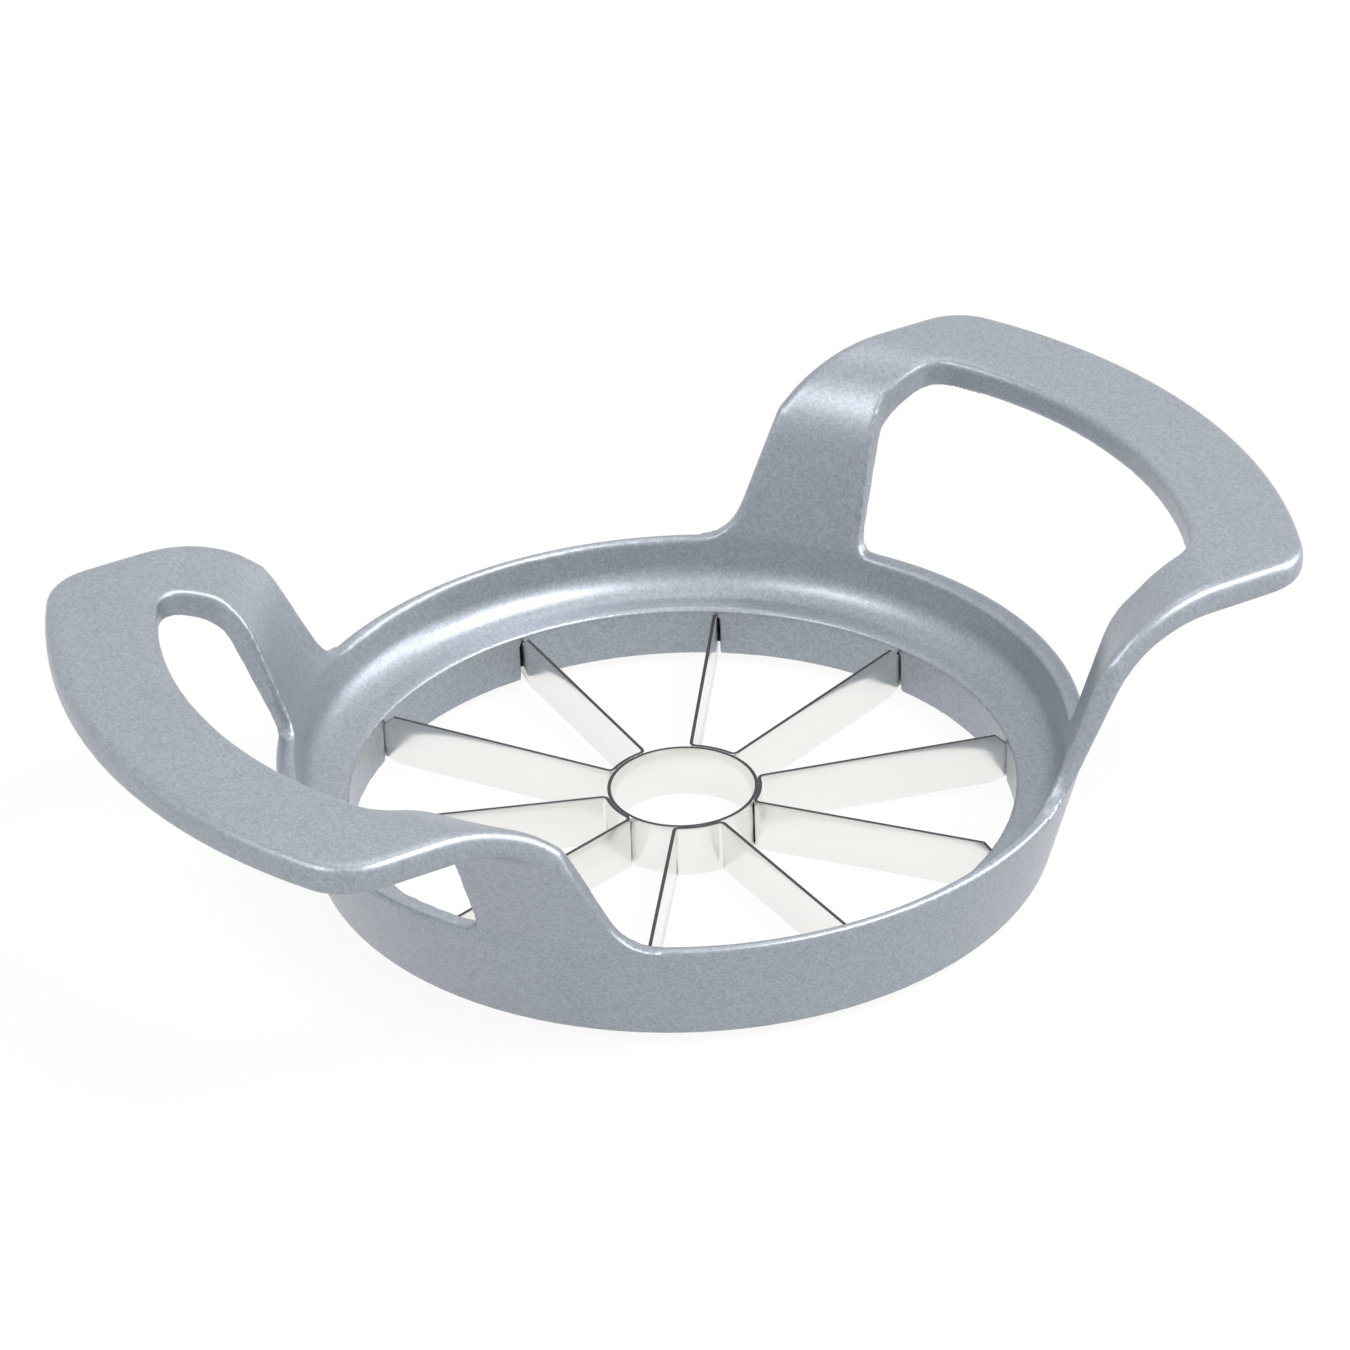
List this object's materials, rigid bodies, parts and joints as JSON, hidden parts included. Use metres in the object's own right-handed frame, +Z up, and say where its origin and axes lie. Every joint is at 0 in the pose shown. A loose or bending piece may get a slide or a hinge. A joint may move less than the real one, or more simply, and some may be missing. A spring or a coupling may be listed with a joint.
{
  "type": "apple slicer wedger press",
  "caption": "Push-down apple slicer with a cast round frame, two raised loop handles, radial blades and a coring tube.",
  "frame": {"origin": "the ring's axis in the base plane, where the coring tube stands on a board", "axes": "+X from the ring's axis through the middle of one handle grip, +Z up along the ring's axis, away from the board"},
  "size_m": [0.1664, 0.1066, 0.0415],
  "materials": {
    "coated_casting": "satin",
    "blade_steel": "polished",
    "retainer_plastic": "matte"
  },
  "bodies": {
    "root": {"frame_casting": "coated_casting", "core_tube": "blade_steel", "blade_retainer": "retainer_plastic", "blade_strip_1": "blade_steel", "blade_strip_2": "blade_steel", "blade_strip_3": "blade_steel", "blade_strip_4": "blade_steel", "blade_strip_5": "blade_steel"}
  },
  "joints": []
}
